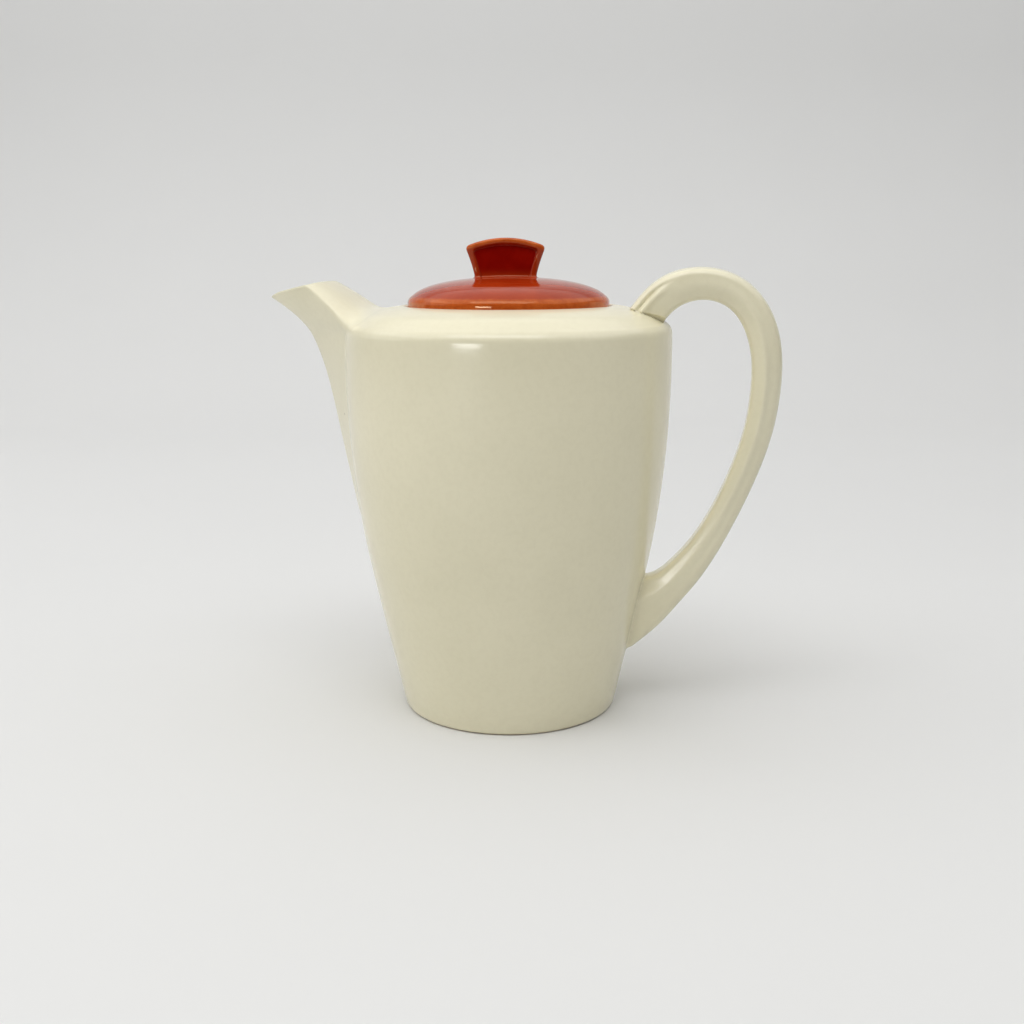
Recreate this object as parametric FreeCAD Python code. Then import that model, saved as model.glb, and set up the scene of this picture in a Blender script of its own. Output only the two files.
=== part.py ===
import FreeCAD, Part
import math
import os

V = FreeCAD.Vector

# ---------------------------------------------------------------------------
# Earthenware coffee pot. Millimetres. +Z up, z = 0 is the table under the foot,
# the pot's axis is the Z axis, the spout points to -X and the handle to +X.
# ---------------------------------------------------------------------------

# --- pot body: outer wall as (radius, height), foot to shoulder
WALL = [(45.1, 2.0), (47.35, 12.0), (51.45, 30.0), (55.85, 50.0), (59.95, 70.0),
        (63.02, 90.0), (65.1, 110.0), (66.22, 130.0), (66.54, 146.0), (66.57, 157.0)]
CORNER_R = 5.2            # rounding from the wall into the shoulder
CORNER_Z = 157.0          # height where that rounding starts
CORNER_TURN = 61.0        # degrees of the rounding, then the shoulder dome
SHOULDER = [(58.0, 164.90), (53.0, 166.45), (48.0, 167.55), (43.2, 168.25)]
# inner wall, shoulder to floor
INNER = [(62.15, 150.0), (61.9, 130.0), (60.8, 110.0), (58.75, 90.0), (55.7, 70.0),
         (51.55, 50.0), (47.1, 30.0), (44.5, 19.0)]
FLOOR_Z = 6.6             # inside floor
FOOT_IN, FOOT_OUT = 38.4, 43.2   # the flat foot ring
FOOT_RECESS = 2.0         # hollow under the base
SEAT_R = 42.1             # rebate in the shoulder that takes the lid's rim
SEAT_Z = 167.0            # ledge that the lid rests on
MOUTH_R = 37.0            # mouth
NECK_Z = 163.2            # lower edge of the mouth

# --- strainer: round holes through the wall behind the spout, as (y, z)
STRAINER_D = 6.0
STRAINER = [(-11.0, 150.0), (0.0, 150.0), (11.0, 150.0),
            (-11.0, 138.5), (0.0, 138.5), (11.0, 138.5),
            (-5.5, 127.0), (5.5, 127.0), (0.0, 116.0)]

# --- spout: level cuts, as (height, keel x, half angle of the V, keel rounding)
SPOUT = [(57.0, -56.9, 62.0, 3.0), (64.0, -59.9, 62.5, 3.0), (72.0, -62.65, 62.5, 3.0),
         (79.5, -65.05, 62.5, 3.0), (90.0, -67.45, 62.0, 3.0), (104.0, -70.35, 60.5, 2.8),
         (117.6, -73.05, 58.3, 2.6), (131.3, -75.85, 55.5, 2.4), (144.7, -79.35, 52.7, 2.2),
         (153.1, -82.55, 49.5, 2.0), (158.1, -85.35, 47.2, 1.9), (161.4, -88.35, 46.0, 1.8),
         (164.7, -92.0, 43.5, 1.7), (168.0, -96.45, 40.5, 1.6), (171.25, -101.5, 37.0, 1.5),
         (174.5, -107.1, 33.0, 1.5), (178.0, -113.5, 30.5, 1.5)]
SPOUT_T = 3.0             # wall of the spout
CHANNEL_Z = 104.0         # floor of the hollow inside the spout
SPOUT_BACK = -40.0        # the level cuts close inside the pot, trimmed to the wall
# spout roof: stations along x as (x, crown height, fall at the roof's edge, half width)
ROOF = [(-84.0, 182.5, 3.0, 17.5), (-80.0, 180.2, 3.2, 19.3), (-76.0, 178.0, 3.4, 20.9),
        (-71.0, 175.05, 3.9, 23.6), (-66.0, 171.9, 4.7, 26.5), (-61.0, 168.35, 5.6, 29.2),
        (-56.0, 165.05, 7.0, 32.0), (-48.0, 159.7, 8.0, 36.0)]
ROOF_N = 3.0              # power of the roof's fall: nearly flat, with rounded edges
# rim of the pouring mouth, tip to the front edge of the roof
RIM = [(-112.0, 167.2), (-101.8, 171.25), (-97.9, 172.75), (-94.6, 173.7), (-90.8, 174.5),
       (-85.4, 175.6), (-81.0, 176.45), (-78.5, 177.1), (-76.0, 178.15), (-72.0, 180.4)]

# --- handle: stations from the shoulder to the lower wall, as (x, z, heading in degrees, half
#     thickness in the loop's plane, half width, place of the side ridge as a fraction of the half
#     thickness, lean of the flank outside and inside the ridge in degrees, softness of the ridge)
HANDLE = [(52, 158.6, 57, 7.2, 11.4, 0.1, 3, 24, 2.6), (57.4, 166.1, 52, 7.05, 11, 0.08, 3, 22, 2.2),
          (64.3, 173, 33.5, 6.95, 10.2, 0.04, 0, 20, 1.4), (73.3, 176.6, 9, 6.6, 9.6, 0, -2, 22, 1),
          (83.1, 176.45, -14.3, 6.3, 9.3, 0, 1, 24, 1.1), (91.7, 172.7, -36.2, 6.25, 9.2, -0.02, 10, 25, 0.9),
          (98.2, 165.7, -56.5, 6.25, 9.1, -0.05, 20, 26, 0.8), (102.1, 156.8, -73, 6.2, 9, -0.08, 28, 27, 0.8),
          (103.85, 147.2, -83.8, 6.06, 8.9, -0.09, 32, 26, 0.8), (103.95, 137.4, -91.2, 5.96, 8.8, -0.1, 33, 26, 0.8),
          (101.45, 118.5, -103, 5.72, 8.6, -0.12, 31, 24, 0.8), (95.75, 100.3, -110.9, 5.55, 8.3, -0.15, 26, 21, 0.8),
          (88.05, 82.7, -116.5, 5.6, 8, -0.17, 18, 18, 0.7), (78.5, 66.2, -124.5, 6.4, 7.8, -0.2, 10, 16, 0.6),
          (72.8, 58.75, -130, 7.05, 7.7, -0.21, 8, 16, 0.4), (66.3, 51.95, -137.5, 8.1, 7.6, -0.23, 8, 16, 0.3),
          (58.2, 46.2, -148, 11.2, 7.7, -0.28, 8, 16, 0.3), (46.5, 40.2, -153, 15.2, 8, -0.34, 8, 16, 0.3)]

# --- lid
LID_DOME = [(0.0, 179.55), (8.0, 179.4), (16.0, 178.9), (22.0, 178.2), (28.0, 177.1),
            (33.0, 175.65), (36.5, 174.1), (38.8, 172.55)]
LID_R = 41.0              # rim
LID_RIM_TOP = 169.4
LID_UNDER = [(0.0, 175.1), (10.0, 174.9), (20.0, 174.0), (28.0, 172.1), (31.6, 170.1)]
FLANGE_R = 36.1           # locating flange that drops into the mouth
FLANGE_IN = 32.9
FLANGE_Z = 157.6

# --- knob: fan-shaped slab across the top of the lid
KNOB_TURN = 10.0          # the lid is loose in its seat; it stands turned this far
KNOB_SHIFT = -1.15        # along the slab, off the lid's centre
KNOB_SIDE = [(11.8, 176.6), (12.75, 181.2), (13.6, 184.3), (14.65, 187.45), (15.85, 190.6)]
KNOB_BASE_Z = 176.6
KNOB_TOP = 195.0
KNOB_ARCH_R = 40.0
KNOB_BASE_T, KNOB_WAIST_T, KNOB_TOP_T = 10.4, 9.2, 11.6
KNOB_CORNER_R = 2.0
KNOB_EDGE_R = 1.5


def seg(a, b):
    return Part.LineSegment(V(a[0], 0, a[1]), V(b[0], 0, b[1])).toShape()


def arc(a, m, b):
    return Part.Arc(V(a[0], 0, a[1]), V(m[0], 0, m[1]), V(b[0], 0, b[1])).toShape()


def curve(points, start=None, end=None):
    c = Part.BSplineCurve()
    kw = {"Points": [V(p[0], 0, p[1]) for p in points]}
    if start and end:
        kw["InitialTangent"] = V(start[0], 0, start[1])
        kw["FinalTangent"] = V(end[0], 0, end[1])
    c.interpolate(**kw)
    return c.toShape()


def spin(edges):
    wire = Part.Wire(Part.__sortEdges__(edges))
    return Part.Face(wire).revolve(V(0, 0, 0), V(0, 0, 1), 360)


def largest(shape):
    return max(shape.Solids, key=lambda s: s.Volume)


# ---------------------------------------------------------------------------
# pot body
# ---------------------------------------------------------------------------
turn = math.radians(CORNER_TURN)
wall_r = WALL[-1][0]
cc = (wall_r - CORNER_R, CORNER_Z)
corner_end = (cc[0] + CORNER_R * math.cos(turn), cc[1] + CORNER_R * math.sin(turn))
corner_mid = (cc[0] + CORNER_R * math.cos(turn / 2), cc[1] + CORNER_R * math.sin(turn / 2))
dome_dir = (-math.sin(turn), math.cos(turn))

foot_edge = (FOOT_OUT, 0.0)
outer_edges = [
    arc(foot_edge, (44.5, 0.65), WALL[0]),
    curve(WALL, (2.2, 8.0), (0.0, 10.0)),
    arc(WALL[-1], corner_mid, corner_end),
    curve([corner_end] + SHOULDER, (dome_dir[0] * 10, dome_dir[1] * 10), (-10.0, 1.1)),
]
lip_top = SHOULDER[-1]


def body_solid():
    ledge_in = (MOUTH_R + 0.7, SEAT_Z)
    neck_top = (MOUTH_R, SEAT_Z - 0.7)
    neck_low = (MOUTH_R, NECK_Z + 1.2)
    under = (MOUTH_R + 1.4, NECK_Z)
    in_top = INNER[0]
    floor_out = (34.0, FLOOR_Z + 0.5)
    edges = list(outer_edges)
    edges += [
        arc(lip_top, (SEAT_R + 0.33, 168.0), (SEAT_R, 167.4)),
        seg((SEAT_R, 167.4), (SEAT_R, SEAT_Z)),
        seg((SEAT_R, SEAT_Z), ledge_in),
        arc(ledge_in, (MOUTH_R + 0.2, SEAT_Z - 0.2), neck_top),
        seg(neck_top, neck_low),
        arc(neck_low, (MOUTH_R + 0.41, NECK_Z + 0.35), under),
        curve([under, (45.0, 163.2), (51.0, 162.3), (56.0, 160.7), (59.9, 158.0), in_top],
              (10.0, 0.4), (0.0, -8.0)),
        curve(INNER, (0.0, -10.0), (-2.6, -10.0)),
        curve([INNER[-1], (41.6, 11.2), floor_out], (-2.6, -10.0), (-10.0, -0.5)),
        curve([floor_out, (17.0, FLOOR_Z + 0.1), (0.0, FLOOR_Z)], (-10.0, -0.4), (-10.0, 0.0)),
        seg((0.0, FLOOR_Z), (0.0, FOOT_RECESS)),
        curve([(0.0, FOOT_RECESS), (20.0, FOOT_RECESS - 0.1), (35.6, FOOT_RECESS - 0.4)],
              (10.0, 0.0), (10.0, -0.4)),
        arc((35.6, FOOT_RECESS - 0.4), (37.4, 0.95), (FOOT_IN - 0.3, 0.25)),
        seg((FOOT_IN - 0.3, 0.25), (FOOT_IN, 0.0)),
        seg((FOOT_IN, 0.0), foot_edge),
    ]
    return spin(edges)


def filled_body():
    """The pot's outside as one lump, used to trim the spout and the handle to it."""
    edges = list(outer_edges) + [seg(lip_top, (0.0, lip_top[1])),
                                 seg((0.0, lip_top[1]), (0.0, 0.0)), seg((0.0, 0.0), foot_edge)]
    return spin(edges)


outside = filled_body()
pot_body = body_solid()
for y, z in STRAINER:
    pot_body = pot_body.cut(Part.makeCylinder(STRAINER_D / 2, 24, V(-76, y, z), V(1, 0, 0)))


# ---------------------------------------------------------------------------
# spout
# ---------------------------------------------------------------------------
def v_wire(z, keel, half, r, inset):
    """Level cut: two straight sides meeting in a rounded keel, closed inside the pot."""
    a = math.radians(half)
    apex = keel - r / math.sin(a) + r + inset / math.sin(a)
    r = max(r - inset, 0.6)
    cx = apex + r / math.sin(a)
    tx, ty = cx - r * math.sin(a), r * math.cos(a)
    bx = SPOUT_BACK
    by = (bx - apex) * math.tan(a)
    p1, p2 = V(bx, by, z), V(tx, ty, z)
    p3, p4 = V(tx, -ty, z), V(bx, -by, z)
    return Part.Wire([Part.LineSegment(p1, p2).toShape(),
                      Part.Arc(p2, V(cx - r, 0, z), p3).toShape(),
                      Part.LineSegment(p3, p4).toShape(),
                      Part.LineSegment(p4, p1).toShape()])


def v_loft(inset, low):
    return Part.makeLoft([v_wire(z, k, h, r, inset) for z, k, h, r in SPOUT if z >= low], True, False)


def roof_tool(lower, front):
    """Everything above the arched roof, from its front edge back over the pot."""
    wires = []
    for k, (x, crown, fall, w) in enumerate(ROOF):
        xx = front if k == 0 else x
        pts = []
        for j in range(-9, 10):
            y = j * 4.0
            pts.append(V(xx, y, crown - lower - fall * min(abs(y / w), 1.4) ** ROOF_N))
        c = Part.BSplineCurve()
        c.interpolate(Points=pts)
        top = 205.0
        a, b = pts[0], pts[-1]
        wires.append(Part.Wire([c.toShape(),
                                Part.LineSegment(b, V(xx, b.y, top)).toShape(),
                                Part.LineSegment(V(xx, b.y, top), V(xx, a.y, top)).toShape(),
                                Part.LineSegment(V(xx, a.y, top), a).toShape()]))
    return Part.makeLoft(wires, True, False)


rim_curve = Part.BSplineCurve()
rim_curve.interpolate(Points=[V(x, -40, z) for x, z in RIM])
r0, r1 = V(RIM[0][0], -40, RIM[0][1]), V(RIM[-1][0], -40, RIM[-1][1])
rim_wire = Part.Wire([rim_curve.toShape(),
                      Part.LineSegment(r1, V(r1.x, -40, 205)).toShape(),
                      Part.LineSegment(V(r1.x, -40, 205), V(r0.x - 10, -40, 205)).toShape(),
                      Part.LineSegment(V(r0.x - 10, -40, 205), V(r0.x - 10, -40, r0.z)).toShape(),
                      Part.LineSegment(V(r0.x - 10, -40, r0.z), r0).toShape()])
rim_tool = Part.Face(rim_wire).extrude(V(0, 80, 0))

near = Part.makeBox(80, 68, 140, V(-125, -34, 50))       # the space that the spout can take up
spout = largest(v_loft(0.0, 0.0).common(near).cut(outside))
spout = largest(spout.cut(roof_tool(0.0, ROOF[0][0])))
spout = largest(spout.cut(rim_tool))
channel = v_loft(SPOUT_T, CHANNEL_Z).common(near).cut(roof_tool(SPOUT_T, ROOF[0][0]))
spout = largest(spout.cut(channel))


# ---------------------------------------------------------------------------
# handle
# ---------------------------------------------------------------------------
def smooth_max(a, b, k):
    h = max(0.0, 1.0 - abs(a - b) / k)
    return max(a, b) + k / 4 * h * h


def handle_cut(a, b, ridge, lean_out, lean_in, soft):
    """Half of the cut through the handle, (out, side) from the back of the loop to its inside:
    two flanks that lean in from a side ridge, and two slightly crowned edges, all rounded together."""
    lo, li = math.radians(lean_out), math.radians(lean_in)

    def depth(u, w):
        f1 = (u - ridge * a) * math.sin(lo) + (w - b - 0.12 * soft) * math.cos(lo)
        f2 = (ridge * a - u) * math.sin(li) + (w - b - 0.12 * soft) * math.cos(li)
        d = smooth_max(f1, f2, soft)
        d = smooth_max(d, u - a + 1.2 * (w / b) ** 2, 3.2)
        return smooth_max(d, -u - a + 0.5 * (w / b) ** 2, 1.6)

    half = []
    for deg in (0, 20, 32, 41, 49, 58, 72, 88, 102, 116, 127, 136, 146, 160, 180):
        cu, cw = a * math.cos(math.radians(deg)), b * math.sin(math.radians(deg))
        near, far = 0.0, 2.0
        for _ in range(50):
            mid = (near + far) / 2
            if depth(cu * mid, cw * mid) < 0:
                near = mid
            else:
                far = mid
        half.append((cu * near, abs(cw * near)))
    return half


def handle_wire(x, z, heading, *cut):
    h = math.radians(heading)
    out = V(-math.sin(h), 0, math.cos(h))      # away from the loop's inside
    side = V(0, 1, 0)
    half = handle_cut(*cut)
    ring = half + [(u, -w) for u, w in reversed(half[1:-1])]
    pts = [V(x, 0, z) + out * u + side * w for u, w in ring]
    c = Part.BSplineCurve()
    c.interpolate(Points=pts, PeriodicFlag=True)
    return Part.Wire([c.toShape()])


handle = Part.makeLoft([handle_wire(*s) for s in HANDLE], True, False).cut(outside)
handle = largest(handle)


# ---------------------------------------------------------------------------
# lid and knob
# ---------------------------------------------------------------------------
rim_low = (LID_R - 0.9, SEAT_Z)
lid = spin([
    curve(LID_DOME, (10.0, 0.0), (6.0, -4.8)),
    curve([LID_DOME[-1], (40.3, 171.2), (LID_R, LID_RIM_TOP)], (4.0, -3.2), (0.0, -4.0)),
    seg((LID_R, LID_RIM_TOP), (LID_R, SEAT_Z + 0.9)),
    arc((LID_R, SEAT_Z + 0.9), (LID_R - 0.26, SEAT_Z + 0.26), rim_low),
    seg(rim_low, (FLANGE_R, SEAT_Z)),
    seg((FLANGE_R, SEAT_Z), (FLANGE_R - 0.5, FLANGE_Z + 1.2)),
    arc((FLANGE_R - 0.5, FLANGE_Z + 1.2), ((FLANGE_R + FLANGE_IN) / 2 - 0.2, FLANGE_Z), (FLANGE_IN, FLANGE_Z + 1.2)),
    seg((FLANGE_IN, FLANGE_Z + 1.2), (FLANGE_IN - 0.2, 167.6)),
    curve([(FLANGE_IN - 0.2, 167.6), LID_UNDER[-1]] + LID_UNDER[-2::-1], (-0.2, 4.0), (-8.0, 0.0)),
    seg(LID_UNDER[0], LID_DOME[0]),
])

lid_lump = spin([curve(LID_DOME, (10.0, 0.0), (6.0, -4.8)),
                 seg(LID_DOME[-1], (LID_DOME[-1][0], 150.0)), seg((LID_DOME[-1][0], 150.0), (0.0, 150.0)),
                 seg((0.0, 150.0), LID_DOME[0])])

ht = KNOB_SIDE[-1][0] + 0.3
drop = KNOB_ARCH_R - math.sqrt(KNOB_ARCH_R ** 2 - ht ** 2)
fan_side = KNOB_SIDE + [(ht, KNOB_TOP - drop)]
fan = Part.Wire([
    curve([(-a, b) for a, b in fan_side]),
    arc((-ht, KNOB_TOP - drop), (0.0, KNOB_TOP), (ht, KNOB_TOP - drop)),
    curve(fan_side[::-1]),
    seg(fan_side[0], (-fan_side[0][0], fan_side[0][1]))])
front = Part.Face(fan).extrude(V(0, 40, 0)).translated(V(0, -20, 0))
tb, tw, tt = KNOB_BASE_T / 2, KNOB_WAIST_T / 2, KNOB_TOP_T / 2
side_a = Part.BSplineCurve()
side_a.interpolate(Points=[V(-30, -tb, KNOB_BASE_Z), V(-30, -tw, 184.5), V(-30, -tt, 196.0)])
side_b = Part.BSplineCurve()
side_b.interpolate(Points=[V(-30, tb, KNOB_BASE_Z), V(-30, tw, 184.5), V(-30, tt, 196.0)])
profile = Part.Wire([side_a.toShape(),
                     Part.LineSegment(V(-30, -tt, 196.0), V(-30, tt, 196.0)).toShape(),
                     side_b.toShape(),
                     Part.LineSegment(V(-30, tb, KNOB_BASE_Z), V(-30, -tb, KNOB_BASE_Z)).toShape()])
slab = Part.Face(profile).extrude(V(60, 0, 0))
lid_knob = largest(front.common(slab))
corners = [e for e in lid_knob.Edges if e.BoundBox.YLength > 5 and e.BoundBox.ZMin > KNOB_BASE_Z + 5]
lid_knob = lid_knob.makeFillet(KNOB_CORNER_R, corners)
rims = [e for e in lid_knob.Edges if e.BoundBox.YLength < 5 and e.BoundBox.ZMax > KNOB_BASE_Z + 5]
lid_knob = lid_knob.makeFillet(KNOB_EDGE_R, rims)
lid_knob = lid_knob.translated(V(KNOB_SHIFT, 0, 0))
lid_knob = lid_knob.rotated(V(0, 0, 0), V(0, 0, 1), KNOB_TURN)
lid_knob = largest(lid_knob.cut(lid_lump))

# ---------------------------------------------------------------------------
os.makedirs("parts", exist_ok=True)
for name, shape in (("pot_body", pot_body), ("spout", spout), ("handle", handle),
                    ("lid", lid), ("lid_knob", lid_knob)):
    solid = largest(shape)
    box = solid.BoundBox
    print(name, "valid", solid.isValid(), "volume %.1f cm3" % (solid.Volume / 1000.0),
          "faces", len(solid.Faces), "pieces", len(shape.Solids),
          "box x %.1f..%.1f y %.1f..%.1f z %.1f..%.1f" % (box.XMin, box.XMax, box.YMin, box.YMax, box.ZMin, box.ZMax))
    solid.exportStep("parts/" + name + ".step")
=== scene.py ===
import math

import bpy
import numpy as np
from mathutils import Matrix, Vector


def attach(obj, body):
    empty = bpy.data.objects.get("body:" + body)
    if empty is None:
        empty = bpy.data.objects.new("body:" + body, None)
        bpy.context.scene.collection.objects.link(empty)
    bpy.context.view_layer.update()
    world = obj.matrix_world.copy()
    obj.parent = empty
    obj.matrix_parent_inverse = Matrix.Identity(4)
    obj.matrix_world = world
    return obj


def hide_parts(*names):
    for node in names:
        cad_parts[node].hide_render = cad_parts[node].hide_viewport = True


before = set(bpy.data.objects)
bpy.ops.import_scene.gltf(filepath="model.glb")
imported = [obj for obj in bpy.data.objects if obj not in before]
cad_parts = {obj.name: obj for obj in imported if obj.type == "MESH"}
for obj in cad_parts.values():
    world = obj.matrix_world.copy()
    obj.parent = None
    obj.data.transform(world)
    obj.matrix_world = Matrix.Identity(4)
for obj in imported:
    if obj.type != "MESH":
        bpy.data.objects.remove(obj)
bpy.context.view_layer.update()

MM = 0.001

# ---------------------------------------------------------------------------
# small maths: smooth curves, smooth unions, lathe distances, surface nets
# ---------------------------------------------------------------------------


class Cubic:
    """Natural cubic through (t, value), straight beyond its ends."""

    def __init__(self, t, v, start=None, end=None):
        t, v = np.asarray(t, float), np.asarray(v, float)
        m, h = len(t), np.diff(t)
        a, b = np.zeros((m, m)), np.zeros(v.shape)
        for i in range(1, m - 1):
            a[i, i - 1], a[i, i], a[i, i + 1] = h[i - 1], 2 * (h[i - 1] + h[i]), h[i]
            b[i] = 6 * ((v[i + 1] - v[i]) / h[i] - (v[i] - v[i - 1]) / h[i - 1])
        a[0, 0] = a[-1, -1] = 1.0
        if start is not None:
            a[0, 0], a[0, 1], b[0] = 2 * h[0], h[0], 6 * ((v[1] - v[0]) / h[0] - start)
        if end is not None:
            a[-1, -1], a[-1, -2], b[-1] = 2 * h[-1], h[-1], 6 * (end - (v[-1] - v[-2]) / h[-1])
        self.t, self.v, self.h, self.m = t, v, h, np.linalg.solve(a, b)

    def __call__(self, q):
        t, v, h, m = self.t, self.v, self.h, self.m
        q = np.asarray(q, float)
        c = np.clip(q, t[0], t[-1])
        i = np.clip(np.searchsorted(t, c) - 1, 0, len(t) - 2)
        a, b, hh = t[i + 1] - c, c - t[i], h[i]
        if v.ndim > 1:
            a, b, hh = a[..., None], b[..., None], hh[..., None]
        r = (m[i] * a ** 3 + m[i + 1] * b ** 3) / (6 * hh) + (v[i] / hh - m[i] * hh / 6) * a \
            + (v[i + 1] / hh - m[i + 1] * hh / 6) * b
        if v.ndim == 1:
            s0 = (v[1] - v[0]) / h[0] - h[0] * (2 * m[0] + m[1]) / 6
            s1 = (v[-1] - v[-2]) / h[-1] + h[-1] * (m[-2] + 2 * m[-1]) / 6
            r = r + np.where(q < t[0], (q - t[0]) * s0, 0) + np.where(q > t[-1], (q - t[-1]) * s1, 0)
        return r


def through(points, gap, start=None, end=None):
    """Smooth plane curve through the points, as points about gap apart."""
    p = np.array(points, float)
    t = np.concatenate([[0], np.cumsum(np.linalg.norm(np.diff(p, axis=0), axis=1))])
    unit = lambda d: None if d is None else np.array(d, float) / np.linalg.norm(d)
    c = Cubic(t, p, unit(start), unit(end))
    return c(np.linspace(0, t[-1], max(4, int(t[-1] / gap) + 1)))


def bow(a, m, b, n):
    """Arc of a circle from a over m to b."""
    (ax, ay), (mx, my), (bx, by) = a, m, b
    d = 2 * (ax * (my - by) + mx * (by - ay) + bx * (ay - my))
    ux = ((ax * ax + ay * ay) * (my - by) + (mx * mx + my * my) * (by - ay) + (bx * bx + by * by) * (ay - my)) / d
    uy = ((ax * ax + ay * ay) * (bx - mx) + (mx * mx + my * my) * (ax - bx) + (bx * bx + by * by) * (mx - ax)) / d
    r = math.hypot(ax - ux, ay - uy)
    t0, tm, t1 = (math.atan2(y - uy, x - ux) for x, y in (a, m, b))
    turn = (t1 - t0) % (2 * math.pi)
    if (tm - t0) % (2 * math.pi) > turn:
        turn -= 2 * math.pi
    t = t0 + turn * np.linspace(0, 1, n)
    return np.stack([ux + r * np.cos(t), uy + r * np.sin(t)], 1)


def chain(*runs):
    """Joins runs of points, leaving out doubled ends."""
    out = []
    for run in runs:
        for p in np.atleast_2d(np.array(run, float)):
            if not out or np.hypot(*(p - out[-1])) > 1e-4:
                out.append(p)
    return np.array(out)


def smin(a, b, k):
    h = np.clip(1 - np.abs(a - b) / k, 0, 1)
    return np.minimum(a, b) - k / 4 * h * h


def joined(part, pot, k, sink=0.02):
    """The part with a small fillet to what it is stuck on. Its skirt runs out just under the other's surface and ends
    inside the wall, so the piece is closed and no edge shows."""
    base = pot + sink
    h = np.clip(1 - np.abs(part - base) / k, 0, 1)
    f = np.minimum(part, base) - h ** 3 * k / 6
    return np.maximum(np.maximum(f, -1.1 - pot), part - pot - k - 1.5)


def smax(a, b, k):
    h = np.clip(1 - np.abs(a - b) / k, 0, 1)
    return np.maximum(a, b) + k / 4 * h * h


def step01(lo, hi, v):
    t = np.clip((v - lo) / (hi - lo), 0, 1)
    return t * t * (3 - 2 * t)


class Lathe:
    """Signed distance to a lathe outline (radius, height), positive outside, looked up in a table.
    The outline runs with the solid on its left."""

    def __init__(self, outline, lo, hi, gap):
        p = np.array(outline, float)
        s = np.concatenate([[0], np.cumsum(np.linalg.norm(np.diff(p, axis=0), axis=1))])
        q = np.linspace(0, s[-1], int(s[-1] / gap) + 2)
        p = np.stack([np.interp(q, s, p[:, 0]), np.interp(q, s, p[:, 1])], 1)
        self.lo, self.gap = np.array(lo, float), gap
        r = np.arange(lo[0], hi[0] + gap, gap)
        z = np.arange(lo[1], hi[1] + gap, gap)
        d = np.zeros((len(r), len(z)))
        t = np.diff(p, axis=0)
        t = np.vstack([t, t[-1:]])
        t = t / np.linalg.norm(t, axis=1)[:, None]
        n = np.stack([t[:, 1], -t[:, 0]], 1)
        for i, ri in enumerate(r):
            e = (ri - p[:, 0])[None, :] ** 2 + (z[:, None] - p[None, :, 1]) ** 2
            k = e.argmin(1)
            best = None
            for o in (-1, 0):
                j = np.clip(k + o, 0, len(p) - 2)
                a, seg = p[j], p[j + 1] - p[j]
                w = np.stack([ri - a[:, 0], z - a[:, 1]], 1)
                u = np.clip((w * seg).sum(1) / (seg * seg).sum(1), 0, 1)
                v = w - u[:, None] * seg
                dist, side = np.linalg.norm(v, axis=1), (w * n[j]).sum(1)
                best = (dist, side) if best is None else (
                    np.minimum(best[0], dist), np.where(dist < best[0], side, best[1]))
            d[i] = best[0] * np.where(best[1] >= 0, 1, -1)
        self.d = d

    def __call__(self, r, z):
        a = np.clip((r - self.lo[0]) / self.gap, 0, self.d.shape[0] - 1.001)
        b = np.clip((z - self.lo[1]) / self.gap, 0, self.d.shape[1] - 1.001)
        i, j = a.astype(int), b.astype(int)
        a, b = a - i, b - j
        d = self.d
        return (d[i, j] * (1 - a) + d[i + 1, j] * a) * (1 - b) + (d[i, j + 1] * (1 - a) + d[i + 1, j + 1] * a) * b


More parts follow.
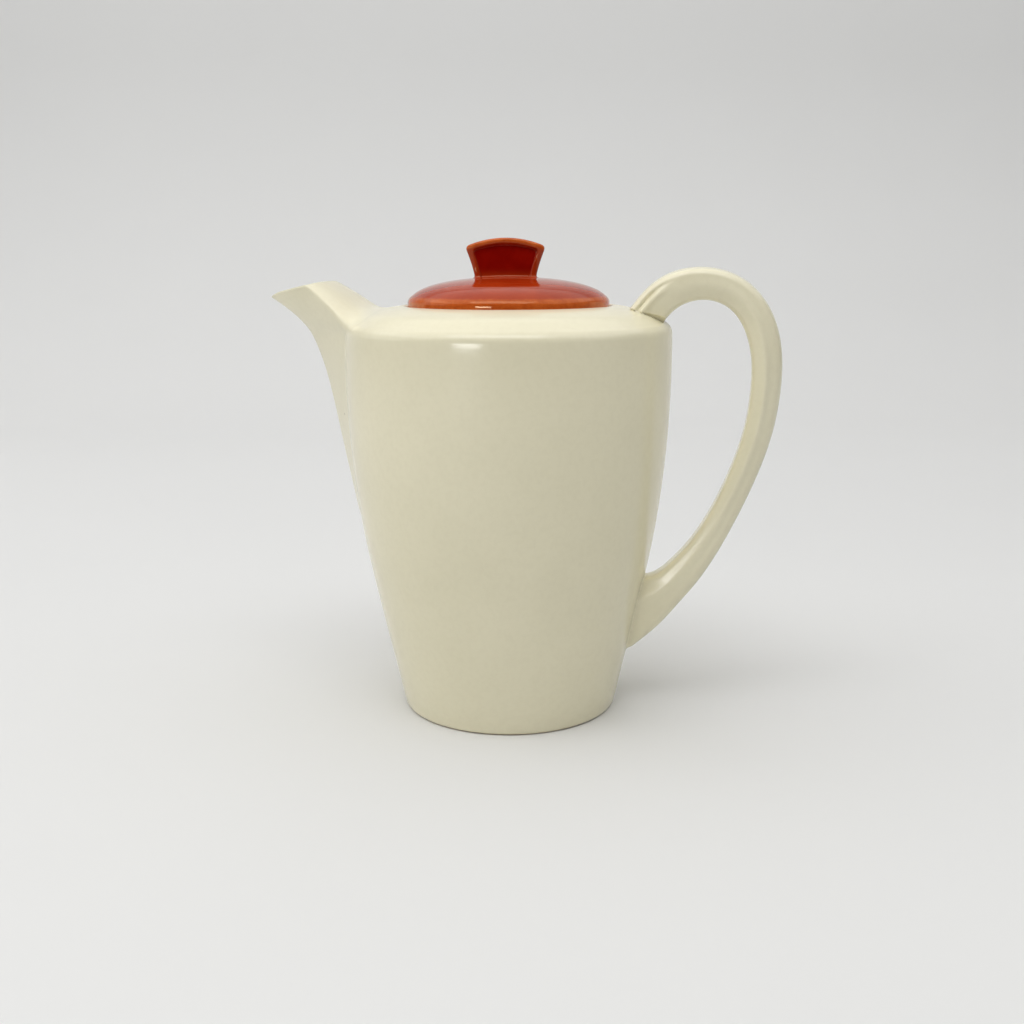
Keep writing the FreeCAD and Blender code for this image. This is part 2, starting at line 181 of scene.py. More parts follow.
def nets(field, lo, hi, gap, rounds=4):
    """Quad mesh of field = 0: surface nets, pulled onto the surface and evened out."""
    lo = np.array(lo, float)
    axes = [np.arange(lo[i], hi[i] + gap, gap) for i in range(3)]
    v = field(*np.meshgrid(*axes, indexing="ij"))
    inside = v < 0
    n = np.array(v.shape) - 1
    corners = [(i, j, k) for i in (0, 1) for j in (0, 1) for k in (0, 1)]
    count = sum(inside[c[0]:n[0] + c[0], c[1]:n[1] + c[1], c[2]:n[2] + c[2]].astype(np.int8) for c in corners)
    active = (count > 0) & (count < 8)
    cells = np.argwhere(active)
    index = np.full(active.shape, -1)
    index[active] = np.arange(len(cells))
    total, number = np.zeros((len(cells), 3)), np.zeros(len(cells))
    for a in corners:
        for d in range(3):
            if a[d]:
                continue
            b = tuple(1 if i == d else a[i] for i in range(3))
            va = v[tuple((cells + a).T)]
            vb = v[tuple((cells + b).T)]
            cross = (va < 0) != (vb < 0)
            t = np.where(cross, va / np.where(cross, va - vb, 1), 0)
            total += cross[:, None] * (np.array(a, float) + t[:, None] * (np.array(b, float) - np.array(a, float)))
            number += cross
    p = (cells + total / number[:, None]) * gap + lo
    quads = []
    for d in range(3):
        e, f = [(1, 2), (2, 0), (0, 1)][d]
        first, second = [slice(None)] * 3, [slice(None)] * 3
        first[d], second[d] = slice(0, n[d]), slice(1, n[d] + 1)
        a, b = inside[tuple(first)], inside[tuple(second)]
        at = np.argwhere(a != b)
        at = at[(at[:, e] > 0) & (at[:, e] < n[e]) & (at[:, f] > 0) & (at[:, f] < n[f])]
        ring = []
        for oe, of in ((-1, -1), (0, -1), (0, 0), (-1, 0)):
            c = at.copy()
            c[:, e] += oe
            c[:, f] += of
            ring.append(index[tuple(c.T)])
        q = np.stack(ring, 1)
        flip = ~a[tuple(at.T)]
        q[flip] = q[flip][:, ::-1]
        quads.append(q)
    quads = np.concatenate(quads)

    def slope(p, e=0.12):
        g = np.zeros(p.shape)
        for d in range(3):
            o = np.zeros(3)
            o[d] = e
            g[:, d] = (field(*(p + o).T) - field(*(p - o).T)) / (2 * e)
        return g

    for r in range(rounds):
        g = slope(p)
        size = np.maximum((g * g).sum(1), 0.05)
        move = (field(*p.T) / size)[:, None] * g
        length = np.maximum(np.linalg.norm(move, axis=1), 1e-9)
        p = p - move * np.minimum(1, 0.7 * gap / length)[:, None]
        if r < rounds - 1:
            near, times = np.zeros(p.shape), np.zeros(len(p))
            for k in range(4):
                a, b = quads[:, k], quads[:, (k + 1) % 4]
                np.add.at(near, a, p[b])
                np.add.at(near, b, p[a])
                np.add.at(times, a, 1)
                np.add.at(times, b, 1)
            pull = near / np.maximum(times, 1)[:, None] - p
            unit = g / np.sqrt(size)[:, None]
            pull -= (pull * unit).sum(1)[:, None] * unit
            p = p + 0.5 * pull
    g = slope(p, 0.2)
    return p, quads, g / np.maximum(np.linalg.norm(g, axis=1), 1e-9)[:, None]


def piece(name, points_mm, faces, normals=None, sharp=None):
    mesh = bpy.data.meshes.new(name)
    mesh.from_pydata([tuple(p) for p in np.asarray(points_mm) * MM], [], [tuple(int(i) for i in f) for f in faces])
    mesh.validate()
    mesh.shade_smooth()
    if sharp is not None:
        mesh.set_sharp_from_angle(angle=math.radians(sharp))
    if normals is not None and len(mesh.vertices) == len(normals):
        mesh.normals_split_custom_set_from_vertices([tuple(v) for v in normals])
    ob = bpy.data.objects.new(name, mesh)
    bpy.context.scene.collection.objects.link(ob)
    return ob


def number(ob, name, values):
    """A named number on each point, for the glaze."""
    a = ob.data.attributes.new(name, "FLOAT", "POINT")
    a.data.foreach_set("value", np.asarray(values, np.float32))


def turned(outline, around):
    """Lathe mesh of a closed outline whose two ends lie on the axis."""
    p = np.array(outline, float)
    t = np.arange(around) / around * 2 * math.pi
    ring = p[1:-1]
    pts = np.stack([ring[:, None, 0] * np.cos(t), ring[:, None, 0] * np.sin(t),
                    np.repeat(ring[:, 1:2], around, 1)], 2).reshape(-1, 3)
    rows = len(ring)
    i = np.arange(rows - 1)[:, None] * around
    j = np.arange(around)[None, :]
    k = (j + 1) % around
    faces = np.stack([i + j, i + k, i + around + k, i + around + j], 2).reshape(-1, 4).tolist()
    first, last = len(pts), len(pts) + 1
    pts = np.vstack([pts, [[0, 0, p[0, 1]], [0, 0, p[-1, 1]]]])
    faces += [[first, (a + 1) % around, a] for a in range(around)]
    top = (rows - 1) * around
    faces += [[top + a, top + (a + 1) % around, last] for a in range(around)]
    return pts, faces


# ---------------------------------------------------------------------------
# the pot's outlines, in millimetres, as in the construction
# ---------------------------------------------------------------------------
WALL = [(45.1, 2.0), (47.35, 12.0), (51.45, 30.0), (55.85, 50.0), (59.95, 70.0),
        (63.02, 90.0), (65.1, 110.0), (66.22, 130.0), (66.53, 144.0), (66.56, 151.0), (66.46, 157.27)]
SHOULDER = [(58.0, 164.90), (53.0, 166.45), (48.0, 167.55), (43.2, 168.25)]
INNER = [(62.15, 150.0), (61.9, 130.0), (60.8, 110.0), (58.75, 90.0), (55.7, 70.0),
         (51.55, 50.0), (47.1, 30.0), (44.5, 19.0)]
turn, lean = math.radians(61.0), math.radians(3.0)
hub = (66.46 - 5.2 * math.cos(lean), 157.27 - 5.2 * math.sin(lean))
corner_end = (hub[0] + 5.2 * math.cos(turn), hub[1] + 5.2 * math.sin(turn))
corner_mid = (hub[0] + 5.2 * math.cos((turn + lean) / 2), hub[1] + 5.2 * math.sin((turn + lean) / 2))

outer = chain(
    bow((43.2, 0.0), (44.5, 0.65), WALL[0], 9),
    through(WALL, 1.8, (2.2, 8.0), (-math.sin(lean), math.cos(lean))),
    bow(WALL[-1], corner_mid, corner_end, 22),
    through([corner_end] + SHOULDER, 0.9, (-math.sin(turn), math.cos(turn)), (-10.0, 1.1)))
under = chain(
    through([(0.0, 2.0), (20.0, 1.9), (35.6, 1.6)], 1.6, (1, 0), (10, -0.4)),
    bow((35.6, 1.6), (37.35, 0.98), (38.1, 0.25), 7), [(38.4, 0.0)], [(40.0, 0.0)], [(41.6, 0.0)])
seat = chain(
    bow((43.2, 168.25), (42.43, 168.0), (42.1, 167.4), 7), [(42.1, 167.22)],
    bow((42.1, 167.2), (42.0, 167.06), (41.85, 167.0), 4),
    [(40.2, 167.0)], [(38.6, 167.0)],
    bow((37.7, 167.0), (37.2, 166.8), (37.0, 166.3), 6), [(37.0, 165.4)],
    bow((37.0, 164.4), (37.41, 163.55), (38.4, 163.2), 6),
    through([(38.4, 163.2), (45.0, 163.2), (51.0, 162.3), (56.0, 160.7), (59.9, 158.0), (62.15, 150.0)], 1.2,
            (10.0, 0.4), (0.0, -1.0)),
    through(INNER, 2.4, (0.0, -1.0), (-2.6, -10.0)),
    through([(44.5, 19.0), (41.6, 11.2), (34.0, 7.1)], 1.3, (-2.6, -10.0), (-10.0, -0.5)),
    through([(34.0, 7.1), (17.0, 6.7), (0.0, 6.6)], 2.4, (-10.0, -0.4), (-1.0, 0.0)))
body_outline = chain(under, outer, seat)

# distance to the outside of the pot, for the joints of the spout and the handle
outside = Lathe(chain([(20.0, 0.0)], outer, [(30.0, 169.2)]), (34.0, 0.0), (90.0, 190.0), 0.3)


def pot_field(x, y, z):
    return outside(np.hypot(x, y), z)


# ---------------------------------------------------------------------------
# spout
# ---------------------------------------------------------------------------
STRAINER = [(-11.0, 150.0), (0.0, 150.0), (11.0, 150.0), (-11.0, 138.5), (0.0, 138.5), (11.0, 138.5),
            (-5.5, 127.0), (5.5, 127.0), (0.0, 116.0)]
LEVELS = np.array([
    (57.0, -56.9, 62.0, 3.0), (64.0, -59.9, 62.5, 3.0), (72.0, -62.65, 62.5, 3.0), (79.5, -65.05, 62.5, 3.0),
    (90.0, -67.45, 62.0, 3.0), (104.0, -70.35, 60.5, 2.8), (117.6, -73.05, 58.3, 2.6), (131.3, -75.85, 55.5, 2.4),
    (144.7, -79.35, 52.7, 2.2), (153.1, -82.55, 49.5, 2.0), (158.1, -85.35, 47.2, 1.9), (161.4, -88.35, 46.0, 1.8),
    (164.7, -92.0, 43.5, 1.7), (168.0, -96.45, 40.5, 1.6), (171.25, -101.5, 37.0, 1.5), (174.5, -107.1, 33.0, 1.5),
    (178.0, -113.5, 30.5, 1.5)])
keel_x = Cubic(LEVELS[:, 0], LEVELS[:, 1])
half_v = Cubic(LEVELS[:, 0], np.radians(LEVELS[:, 2]))
keel_r = Cubic(LEVELS[:, 0], LEVELS[:, 3])
ROOF = np.array([
    (-84.0, 182.5, 3.0, 17.5), (-80.0, 180.2, 3.2, 19.3), (-76.0, 178.0, 3.4, 20.9), (-71.0, 175.05, 3.9, 23.6),
    (-66.0, 171.9, 4.7, 26.5), (-61.0, 168.35, 5.6, 29.2), (-56.0, 165.05, 7.0, 32.0), (-48.0, 159.7, 8.0, 36.0)])
crown, fall, width = (Cubic(ROOF[:, 0], ROOF[:, i]) for i in (1, 2, 3))
RIM = np.array([(-112.0, 167.2), (-101.8, 171.25), (-97.9, 172.75), (-94.6, 173.7), (-90.8, 174.5),
                (-85.4, 175.6), (-81.0, 176.45), (-78.5, 177.1), (-76.0, 178.15), (-72.0, 180.4)])
rim_z = Cubic(RIM[:, 0], RIM[:, 1])


def v_sides(x, y, z):
    def level(z):
        z = np.clip(z, 40, 182)
        a, k, r = half_v(z), keel_x(z), keel_r(z) * 1.25
        q = r * (1 - np.sin(a)) / np.cos(a)
        return np.sqrt(y * y + q * q) * np.cos(a) - (x - k + q / np.tan(a)) * np.sin(a)
    s = level(z)
    g = (level(z + 0.4) - level(z - 0.4)) / 0.8
    return s / np.sqrt(1 + g * g)


def roof(x, y, z):
    w = width(x)
    t = np.clip(np.abs(y) / w, 0, 1.4)
    f = fall(x)
    zr = crown(x) - f * t ** 3
    sx = (crown(x + 0.5) - fall(x + 0.5) * t ** 3 - crown(x - 0.5) + fall(x - 0.5) * t ** 3)
    sy = 3 * f / w * t * t
    return (z - zr) / np.sqrt(1 + sx * sx + sy * sy)


def rim(x, y, z):
    s = rim_z(x + 0.5) - rim_z(x - 0.5)
    return (z - rim_z(x)) / np.sqrt(1 + s * s)


def spout_parts(x, y, z):
    s, top, lip = v_sides(x, y, z), roof(x, y, z), rim(x, y, z)
    edge = 0.9 + 1.8 * step01(-80.0, -62.0, x)
    shell = smax(smax(s, top, edge), lip, 0.9)
    hollow = smax(smax(s + 3.0, top + 3.0, 2.0), (104.0 - z) * 0.8, 4.0)
    return smax(shell, -hollow, 1.1)


def spout_field(x, y, z):
    part, pot = spout_parts(x, y, z), pot_field(x, y, z)
    f = joined(part, pot, 0.9 + 8.0 * step01(157.0, 165.0, z))
    # the skirt leaves the strainer holes open
    hole = np.full(np.shape(f), 1e3)
    for hy, hz in STRAINER:
        hole = np.minimum(hole, np.hypot(y - hy, z - hz))
    return np.where(pot < 0.4, np.maximum(f, 3.2 - hole), f)


# ---------------------------------------------------------------------------
# handle
# ---------------------------------------------------------------------------
HANDLE = np.array([  # x, z, heading, half thickness, half width, ridge, tilt of outer face, of inner face, ridge softness
    (52, 158.6, 57, 7.2, 11.4, 0.1, 3, 24, 2.6), (57.4, 166.1, 52, 7.05, 11, 0.08, 3, 22, 2.2),
    (64.3, 173, 33.5, 6.95, 10.2, 0.04, 0, 20, 1.4), (73.3, 176.6, 9, 6.6, 9.6, 0, -2, 22, 1),
    (83.1, 176.45, -14.3, 6.3, 9.3, 0, 1, 24, 1.1), (91.7, 172.7, -36.2, 6.25, 9.2, -0.02, 10, 25, 0.9),
    (98.2, 165.7, -56.5, 6.25, 9.1, -0.05, 20, 26, 0.8), (102.1, 156.8, -73, 6.2, 9, -0.08, 28, 27, 0.8),
    (103.85, 147.2, -83.8, 6.06, 8.9, -0.09, 32, 26, 0.8), (103.95, 137.4, -91.2, 5.96, 8.8, -0.1, 33, 26, 0.8),
    (101.45, 118.5, -103, 5.72, 8.6, -0.12, 31, 24, 0.8), (95.75, 100.3, -110.9, 5.55, 8.3, -0.15, 26, 21, 0.8),
    (88.05, 82.7, -116.5, 5.6, 8, -0.17, 18, 18, 0.7), (78.5, 66.2, -124.5, 6.4, 7.8, -0.2, 10, 16, 0.6),
    (72.8, 58.75, -130, 7.05, 7.7, -0.21, 8, 16, 0.4), (66.3, 51.95, -137.5, 8.1, 7.6, -0.23, 8, 16, 0.3),
    (58.2, 46.2, -148, 11.2, 7.7, -0.28, 8, 16, 0.3), (46.5, 40.2, -153, 15.2, 8, -0.34, 8, 16, 0.3)])
along = np.concatenate([[0], np.cumsum(np.hypot(*np.diff(HANDLE[:, :2], axis=0).T))])
way = Cubic(along, HANDLE)
dense = np.linspace(0, along[-1], 520)
rows = way(dense)
ahead = np.gradient(rows[:, :2], dense, axis=0)
ahead /= np.linalg.norm(ahead, axis=1)[:, None]


def on_handle(x, z):
    """Nearest place along the loop, and how far out of it the point lies."""
    shape = x.shape
    q = np.stack([x.ravel(), z.ravel()], 1)
    k = np.zeros(len(q), int)
    for i in range(0, len(q), 20000):
        c = q[i:i + 20000]
        e = (c[:, None, 0] - rows[None, :, 0]) ** 2 + (c[:, None, 1] - rows[None, :, 1]) ** 2
        k[i:i + 20000] = e.argmin(1)
    w = q - rows[k, :2]
    t = ahead[k]
    s = dense[k] + np.clip((w * t).sum(1), -0.4, 0.4)
    u = w[:, 1] * t[:, 0] - w[:, 0] * t[:, 1]
    return s.reshape(shape), u.reshape(shape)


def handle_parts(x, y, z):
    if x.ndim == 3:
        s, u = (a[:, None, :] for a in on_handle(x[:, 0, :], z[:, 0, :]))
    else:
        s, u = on_handle(x, z)
    a, b, p, t_out, t_in, soft = (np.interp(s, dense, rows[:, i]) for i in (3, 4, 5, 6, 7, 8))
    t_out, t_in = np.radians(t_out), np.radians(t_in)
    w = np.abs(y)
    bb = b + soft * 0.12
    d1 = (u - p * a) * np.sin(t_out) + (w - bb) * np.cos(t_out)
    d2 = (p * a - u) * np.sin(t_in) + (w - bb) * np.cos(t_in)
    d = smax(d1, d2, soft)
    d = smax(d, u - a + 1.2 * (w / b) ** 2, 3.2)
    d = smax(d, -u - a + 0.5 * (w / b) ** 2, 1.6)
    # a shallow hollow outside the ridge, so that the ridge reads as a line
    run = step01(16.0, 30.0, s) * (1 - step01(150.0, 175.0, s))
    d = d + 0.4 * run * np.exp(-((u - p * a - 2.3) / 1.6) ** 2)
    # a finger's groove beside the upper joint, on the near side, with the clay pushed up next to it
    fade = (1 - step01(13.0, 25.0, s)) * step01(3.0, 0.0, y + 2.0)
    d = d + fade * (1.0 * np.exp(-((u - 0.52 * a) / 0.7) ** 2) - 0.75 * np.exp(-((u - 0.26 * a) / 1.2) ** 2))
    return d


def handle_field(x, y, z):
    part, pot = handle_parts(x, y, z), pot_field(x, y, z)
    # the upper joint was not smoothed: a crevice runs along it, widest under the handle
    crevice = (0.4 + 2.0 * step01(54.0, 66.0, x)) * step01(4.0, 8.0, np.abs(y)) * step01(120.0, 140.0, z) - np.hypot(part, pot)
    return np.maximum(joined(part, pot, 1.3 - 0.6 * step01(100.0, 140.0, z)), crevice)


# ---------------------------------------------------------------------------
# lid and knob
# ---------------------------------------------------------------------------
LID_DOME = [(0.0, 179.55), (8.0, 179.4), (16.0, 178.9), (22.0, 178.2), (28.0, 177.1),
            (33.0, 175.65), (36.5, 174.1), (38.8, 172.55)]
dome = through(LID_DOME, 0.8, (1, 0), (4, -3.2))
lid_top = chain(dome, through([LID_DOME[-1], (40.3, 171.2), (41.0, 169.4)], 0.35, (4.0, -3.2), (0, -1)),
                [(41.0, 168.6)], bow((41.0, 167.9), (40.74, 167.26), (40.1, 167.0), 6))
lid_under = chain(
    [(40.1, 167.0)], [(38.0, 167.0)], bow((36.5, 167.0), (36.2, 166.9), (36.08, 166.6), 4),
    [(35.95, 164.0)], [(35.75, 161.0)], [(35.6, 158.8)],
    bow((35.6, 158.8), (34.3, 157.6), (32.9, 158.8), 9), [(32.85, 162.0)], [(32.75, 165.0)],
    through([(32.7, 167.6), (31.6, 170.1), (28.0, 172.1), (20.0, 174.0), (10.0, 174.9), (0.0, 175.1)], 1.2,
            (-0.2, 4.0), (-1, 0)))
lid_outline = chain(lid_top, lid_under)[::-1]
lid_side = Lathe(lid_top[::-1], (0.0, 160.0), (46.0, 200.0), 0.2)

TURN = math.radians(10.0)
side_w = Cubic([176.0, 178.6, 181.2, 184.3, 187.45, 190.6, 193.5], [11.7, 12.15, 12.75, 13.6, 14.65, 15.85, 17.1])
slab_t = Cubic([176.0, 180.5, 184.5, 190.0, 195.5], [5.3, 4.7, 4.45, 4.85, 5.75])


def knob_parts(x, y, z):
    c, s = math.cos(TURN), math.sin(TURN)
    a, b = x * c + y * s + 1.15, -x * s + y * c
    g = side_w(z + 0.4) - side_w(z - 0.4)
    ends = (np.abs(a) - side_w(z)) / np.sqrt(1 + (g / 0.8) ** 2)
    arch = np.hypot(a, z - 154.98) - 40.0
    # the two broad faces have a sunk panel, so that a rim stands proud round the fan
    inset = smax(ends, arch, 1.6)
    panel = 1 - step01(-2.75, -2.05, inset)
    half = slab_t(z) * (1 - panel) + 3.95 * panel
    flat = np.abs(b) - half
    return ends, arch, flat, panel


def knob_field(x, y, z):
    ends, arch, flat, panel = knob_parts(x, y, z)
    part = smax(smax(ends, arch, 2.0), flat, 1.7)
    return joined(part, lid_side(np.hypot(x, y), z), 2.2)


# ---------------------------------------------------------------------------
# the pieces
# ---------------------------------------------------------------------------
pts, faces = turned(body_outline, 224)
body = piece("pot_body_glazed", pts, faces)
cutter_pts, cutter_faces = [], []
for y, z in STRAINER:
    o = len(cutter_pts)
    for x in (-76.0, -50.0):
        cutter_pts += [(x, y + 3.0 * math.cos(t), z + 3.0 * math.sin(t)) for t in np.arange(32) / 32 * 2 * math.pi]
    cutter_faces += [[o + i, o + 32 + i, o + 32 + (i + 1) % 32, o + (i + 1) % 32] for i in range(32)]
    cutter_faces += [list(range(o, o + 32)), list(range(o + 63, o + 31, -1))]
cutter = piece("strainer_cutter", cutter_pts, cutter_faces)
pierce = body.modifiers.new("pierce", "BOOLEAN")
pierce.operation, pierce.object, pierce.solver = "DIFFERENCE", cutter, "EXACT"
bpy.context.view_layer.update()
pierced = bpy.data.meshes.new_from_object(body.evaluated_get(bpy.context.evaluated_depsgraph_get()))
body.modifiers.clear()
body.data = pierced
body.data.name = "pot_body_glazed"
bpy.data.objects.remove(cutter)
body.data.shade_smooth()
body.data.set_sharp_from_angle(angle=math.radians(42))


def with_pot_normals(p, n):
    """Towards the end of a skirt the shading becomes that of the pot below it."""
    e = 0.3
    g = np.stack([(pot_field(*(p + o).T) - pot_field(*(p - o).T)) for o in np.eye(3) * e], 1)
    g /= np.maximum(np.linalg.norm(g, axis=1), 1e-9)[:, None]
    w = (1 - step01(0.0, 0.12, np.abs(pot_field(*p.T))))[:, None]
    n = n * (1 - w) + g * w
    return n / np.maximum(np.linalg.norm(n, axis=1), 1e-9)[:, None]


p, q, n = nets(spout_field, (-103.0, -42.0, 44.0), (-40.0, 42.0, 181.0), 0.72)
spout = piece("spout_glazed", p, q, with_pot_normals(p, n))

p, q, n = nets(handle_field, (38.0, -17.0, 14.0), (111.5, 17.0, 185.5), 0.72)
handle = piece("handle_glazed", p, q, with_pot_normals(p, n))

pts, faces = turned(lid_outline, 192)
lid = piece("lid_glazed", pts, faces, sharp=50)
p = np.array([v.co for v in lid.data.vertices]) / MM
r = np.hypot(p[:, 0], p[:, 1])
band = step01(38.2, 41.0, r) * step01(166.5, 167.0, p[:, 2])
number(lid, "thin", band)
number(lid, "darker_red", np.zeros(len(p)))

p, q, n = nets(knob_field, (-20.5, -13.5, 174.0), (18.5, 13.5, 196.2), 0.36)
knob = piece("lid_knob_glazed", p, q, n)
ends, arch, flat, panel = knob_parts(*p.T)
low = step01(178.2, 183.5, p[:, 2])
number(knob, "thin", np.clip((1 - panel) * (0.35 + 0.65 * step01(-2.2, -0.6, arch)) * low, 0, 1))
# a darker red on the sunk panels, and a little darker on the rest of the knob's upper part
number(knob, "darker_red", np.maximum(panel, 0.3) * low)

for ob, bod, node, slot in ((body, "pot", "pot_body", "cream_glaze"), (spout, "pot", "spout", "cream_glaze"),
                            (handle, "pot", "handle", "cream_glaze"), (lid, "lid", "lid", "red_glaze"),
                            (knob, "lid", "lid_knob", "red_glaze")):
    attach(ob, bod)
    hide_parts(node)


# ---------------------------------------------------------------------------
# materials
# ---------------------------------------------------------------------------
class Nodes:
    def __init__(self, name):
        self.mat = bpy.data.materials.new(name)
        self.mat.use_nodes = True
        self.tree = self.mat.node_tree
        self.bsdf = self.tree.nodes["Principled BSDF"]
        self.coord = self.tree.nodes.new("ShaderNodeTexCoord").outputs["Object"]

    def add(self, kind, inputs=(), **props):
        n = self.tree.nodes.new(kind)
        for k, v in props.items():
            setattr(n, k, v)
        for k, v in dict(inputs).items():
            if isinstance(v, bpy.types.NodeSocket):
                self.tree.links.new(v, n.inputs[k])
            else:
                n.inputs[k].default_value = v
        return n

    def noise(self, scale, detail=2.0, rough=0.5, at=None):
        n = self.add("ShaderNodeTexNoise", {"Vector": at or self.coord, "Scale": scale, "Detail": detail, "Roughness": rough})
        return n.outputs["Fac"]

    def ramp(self, fac, lo, hi, to=(0.0, 1.0)):
        n = self.add("ShaderNodeMapRange", {"Value": fac, "From Min": lo, "From Max": hi, "To Min": to[0], "To Max": to[1]},
                     interpolation_type="SMOOTHSTEP", clamp=True)
        return n.outputs["Result"]

    def maths(self, op, a, b=0.0):
        n = self.add("ShaderNodeMath", operation=op)
        for i, v in ((0, a), (1, b)):
            if isinstance(v, bpy.types.NodeSocket):
                self.tree.links.new(v, n.inputs[i])
            else:
                n.inputs[i].default_value = v
        return n.outputs[0]

    def mix(self, fac, a, b, blend="MIX"):
        n = self.add("ShaderNodeMix", data_type="RGBA", blend_type=blend)
        for i, v in ((0, fac), (6, a), (7, b)):
            if isinstance(v, bpy.types.NodeSocket):
                self.tree.links.new(v, n.inputs[i])
            else:
                n.inputs[i].default_value = v if i == 0 else (*v, 1.0)
        return n.outputs[2]

    def bump(self, height, strength, distance, under=None):
        ins = {"Height": height, "Strength": strength, "Distance": distance}
        if under is not None:
            ins["Normal"] = under
        return self.add("ShaderNodeBump", ins).outputs["Normal"]

    def attribute(self, name):
        return self.add("ShaderNodeAttribute", attribute_name=name).outputs["Fac"]

    def link(self, socket, name):
        self.tree.links.new(socket, self.bsdf.inputs[name])


def cream_glaze():
    m = Nodes("cream_glaze")
    xyz = m.add("ShaderNodeSeparateXYZ", {"Vector": m.coord})
    cloud = m.noise(16.0, 3.0, 0.55)
    base = m.mix(m.ramp(cloud, 0.3, 0.7), (0.835, 0.785, 0.575), (0.870, 0.818, 0.606))
    fine = m.noise(420.0, 2.0, 0.6)
    base = m.mix(m.ramp(fine, 0.35, 0.75, (0.0, 0.10)), base, (0.67, 0.61, 0.42))
    # a few iron specks under the glaze
    cell = m.add("ShaderNodeTexVoronoi", {"Vector": m.coord, "Scale": 75.0, "Randomness": 1.0})
    pick = m.add("ShaderNodeSeparateColor", {"Color": cell.outputs["Color"]}).outputs["Red"]
    speck = m.maths("MULTIPLY", m.ramp(cell.outputs["Distance"], 0.022, 0.05, (1.0, 0.0)), m.ramp(pick, 0.94, 0.95))
    base = m.mix(m.maths("MULTIPLY", speck, 0.55), base, (0.20, 0.15, 0.09))
    # bare clay where the foot ring stands on the table
    clay = m.mix(m.noise(900.0, 3.0, 0.6), (0.62, 0.50, 0.36), (0.74, 0.62, 0.47))
    foot = m.ramp(m.maths("ADD", xyz.outputs["Z"], m.maths("MULTIPLY", m.noise(140.0), 0.0008)), 0.0006, 0.0011, (1.0, 0.0))
    base = m.mix(foot, base, clay)
    m.link(base, "Base Color")
    rough = m.ramp(m.noise(45.0, 3.0, 0.6), 0.25, 0.75, (0.135, 0.175))
    rough = m.maths("ADD", rough, m.maths("MULTIPLY", m.noise(600.0, 1.0), 0.03))
    m.link(m.maths("MAXIMUM", rough, m.maths("MULTIPLY", foot, 0.85)), "Roughness")
    n = m.bump(m.noise(38.0, 1.0, 0.4), 0.10, 0.0012)
    n = m.bump(m.noise(520.0, 2.0, 0.5), 0.06, 0.00025, n)
    m.link(n, "Normal")
    m.bsdf.inputs["IOR"].default_value = 1.5
    return m.mat


def red_glaze():
    m = Nodes("red_glaze")
    thin, darker_red = m.attribute("thin"), m.attribute("darker_red")
    cloud = m.noise(90.0, 4.0, 0.6)
    deep = m.mix(m.ramp(cloud, 0.3, 0.7), (0.350, 0.027, 0.0035), (0.410, 0.038, 0.0055))
    dark = m.mix(m.ramp(m.noise(150.0, 3.0, 0.6), 0.3, 0.7), (0.240, 0.0026, 0.0008), (0.295, 0.0050, 0.0014))
    orange = m.mix(m.ramp(m.noise(260.0, 3.0, 0.6), 0.3, 0.7), (0.48, 0.078, 0.010), (0.60, 0.122, 0.021))
    edge = m.ramp(m.maths("ADD", thin, m.maths("MULTIPLY", m.maths("SUBTRACT", m.noise(320.0, 3.0), 0.5), 0.35)), 0.2, 0.9)
    # darker red where the points ask for it: the knob's sunk panels and its upper part
    base = m.mix(darker_red, deep, dark)
    m.link(m.mix(edge, base, orange), "Base Color")
    rough = m.ramp(m.noise(120.0, 3.0, 0.6), 0.3, 0.7, (0.05, 0.09))
    m.link(rough, "Roughness")
    n = m.bump(m.noise(110.0, 1.0, 0.4), 0.04, 0.0006)
    m.link(n, "Normal")
    m.bsdf.inputs["IOR"].default_value = 1.47
    m.bsdf.inputs["Specular Tint"].default_value = (1.0, 0.81, 0.53, 1.0)
    return m.mat


cream, red = cream_glaze(), red_glaze()
for ob in (body, spout, handle):
    ob.data.materials.clear()
    ob.data.materials.append(cream)
for ob in (lid, knob):
    ob.data.materials.clear()
    ob.data.materials.append(red)
for name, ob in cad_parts.items():
    ob.data.materials.clear()
    ob.data.materials.append(red if name.startswith("lid") else cream)

# ---------------------------------------------------------------------------
# stage, light and camera
# ---------------------------------------------------------------------------
sweep = chain([(-1.7, 0.0)], [(0.80, 0.0)], bow((0.80, 0.0), (1.118, 0.132), (1.25, 0.45), 24), [(1.25, 2.2)])
floor_pts, floor_faces = [], []
PHI = math.radians(10.0)
for i, (d, h) in enumerate(sweep):
    for w in (-2.2, 2.2):
        floor_pts.append((w * math.cos(PHI) - d * math.sin(PHI), w * math.sin(PHI) + d * math.cos(PHI), h))
    if i:
        o = 2 * i
        floor_faces.append((o - 2, o - 1, o + 1, o))
mesh = bpy.data.meshes.new("studio_floor")
mesh.from_pydata(floor_pts, [], floor_faces)
mesh.shade_smooth()
stage = bpy.data.objects.new("studio_floor", mesh)
bpy.context.scene.collection.objects.link(stage)
paper = Nodes("studio_paper")
paper.link(paper.mix(paper.noise(7.0, 3.0), (0.745, 0.745, 0.735), (0.76, 0.76, 0.75)), "Base Color")
paper.bsdf.inputs["Roughness"].default_value = 0.75
mesh.materials.append(paper.mat)


def softbox(name, at, aim, size, power, spread=180.0):
    light = bpy.data.lights.new(name, "AREA")
    light.shape, light.size, light.size_y = "RECTANGLE", size[0], size[1]
    light.energy, light.spread = power, math.radians(spread)
    ob = bpy.data.objects.new(name, light)
    ob.location = at
    ob.rotation_euler = (Vector(aim) - Vector(at)).to_track_quat("-Z", "Y").to_euler()
    bpy.context.scene.collection.objects.link(ob)
    return ob


def around(az, el, dist, aim=(0.0, 0.0, 0.10)):
    """A place dist from the pot, az degrees to the right of the camera and el degrees up."""
    a, e = PHI - math.pi / 2 + math.radians(az), math.radians(el)
    return (aim[0] + dist * math.cos(a) * math.cos(e), aim[1] + dist * math.sin(a) * math.cos(e), aim[2] + dist * math.sin(e))


middle = (0.0, 0.0, 0.10)
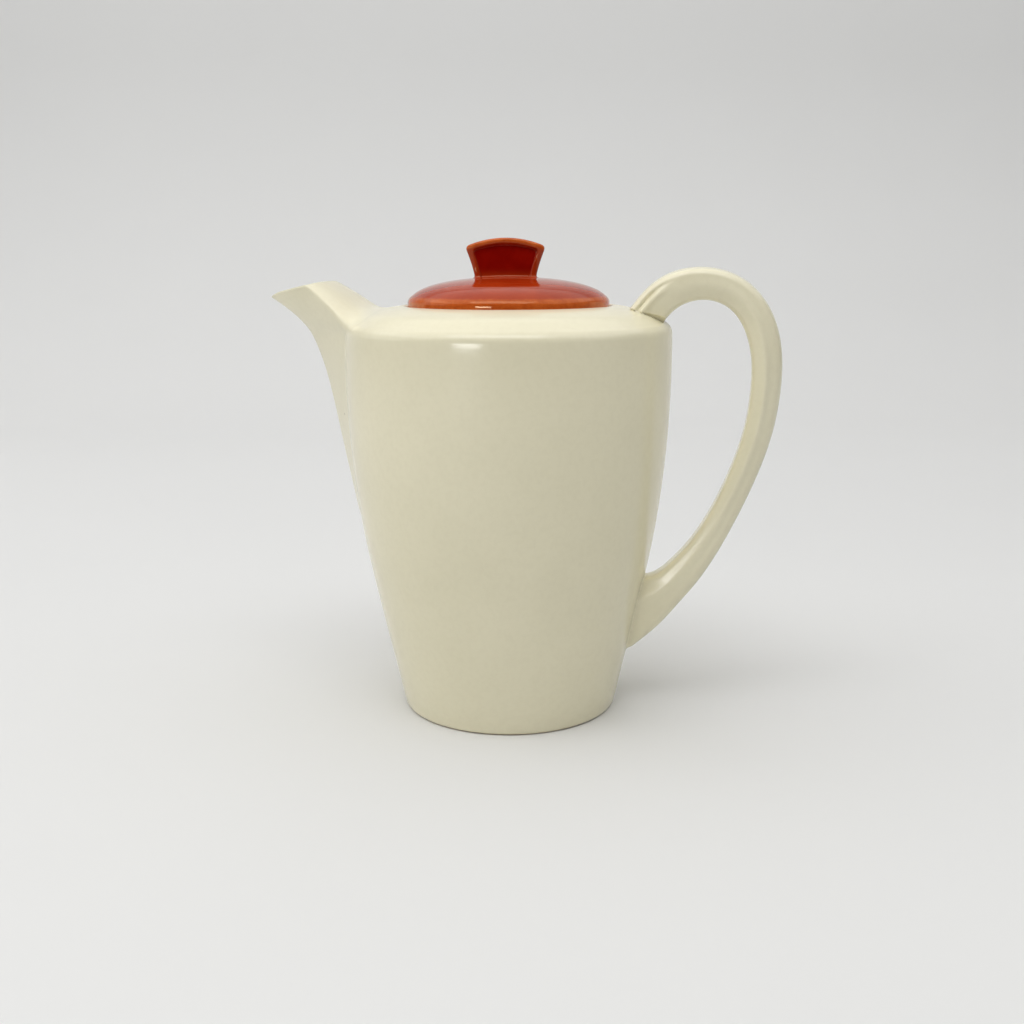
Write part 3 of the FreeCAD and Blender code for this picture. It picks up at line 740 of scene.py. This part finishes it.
# the ceiling gets weaker towards the backdrop, so that its mirror image on the lid has no edge
for name, near, far, bright in (("ceiling_1", -0.95, 0.05, 1.10), ("ceiling_2", 0.05, 0.40, 1.05), ("ceiling_3", 0.40, 0.68, 0.96),
                                ("ceiling_4", 0.68, 0.95, 0.85), ("ceiling_5", 0.95, 1.22, 0.74)):
    d, deep = (near + far) / 2, far - near
    at = (-d * math.sin(PHI), d * math.cos(PHI), 1.2)
    ob = softbox(name, at, (at[0], at[1], 0.0), (3.6, deep), bright * math.pi * 3.6 * deep)
    ob.rotation_euler = (0.0, 0.0, PHI)
softbox("front_softbox", around(-12, 62, 1.25), middle, (1.2, 0.6), 5.8)
softbox("left_softbox", around(-95, 25, 1.3), middle, (1.0, 1.0), 2.3)
softbox("right_softbox", around(80, 20, 1.3), middle, (0.8, 0.8), 0.15)
softbox("window", around(-27.3, 0.9, 1.3, (0.0, 0.0, 0.16)), (0.0, 0.0, 0.16), (0.40, 0.06), 1.5)
softbox("backdrop_light", (-0.55 * math.sin(PHI), 0.55 * math.cos(PHI), 1.15), (-1.05 * math.sin(PHI), 1.05 * math.cos(PHI), 0.15),
        (3.0, 0.25), 1.15, 90.0)

# a little light from everywhere else, least from behind the camera
WORLD = 0.06
world = bpy.data.worlds.new("studio")
bpy.context.scene.world = world
world.use_nodes = True
wt = world.node_tree
facing = wt.nodes.new("ShaderNodeVectorMath")
facing.operation = "DOT_PRODUCT"
facing.inputs[1].default_value = (math.sin(PHI), -math.cos(PHI), 0.0)
wt.links.new(wt.nodes.new("ShaderNodeTexCoord").outputs["Generated"], facing.inputs[0])
fade = wt.nodes.new("ShaderNodeMapRange")
fade.interpolation_type = "SMOOTHSTEP"
for k, v in zip(("From Min", "From Max", "To Min", "To Max"), (0.35, 0.85, WORLD, 0.04 * WORLD)):
    fade.inputs[k].default_value = v
wt.links.new(facing.outputs["Value"], fade.inputs["Value"])
wt.links.new(fade.outputs["Result"], wt.nodes["Background"].inputs["Strength"])
wt.nodes["Background"].inputs["Color"].default_value = (1.0, 1.0, 1.0, 1.0)

cam = bpy.data.cameras.new("camera")
cam.sensor_fit, cam.sensor_width, cam.lens = "HORIZONTAL", 36.0, 1216.7 * 36.0 / 1024.0
camera = bpy.data.objects.new("camera", cam)
bpy.context.scene.collection.objects.link(camera)
D, H = 0.5021, 0.1893
turned_by = (Matrix.Rotation(PHI, 4, "Z") @ Matrix.Rotation(math.radians(90.0 - 12.057), 4, "X")
             @ Matrix.Rotation(math.radians(-0.1253), 4, "Y") @ Matrix.Rotation(math.radians(-0.225), 4, "Z"))
camera.matrix_world = Matrix.Translation((D * math.sin(PHI), -D * math.cos(PHI), H)) @ turned_by
bpy.context.scene.camera = camera
bpy.context.scene.view_settings.view_transform = "Standard"
bpy.context.scene.view_settings.look = "None"
bpy.context.scene.view_settings.exposure = 0.0
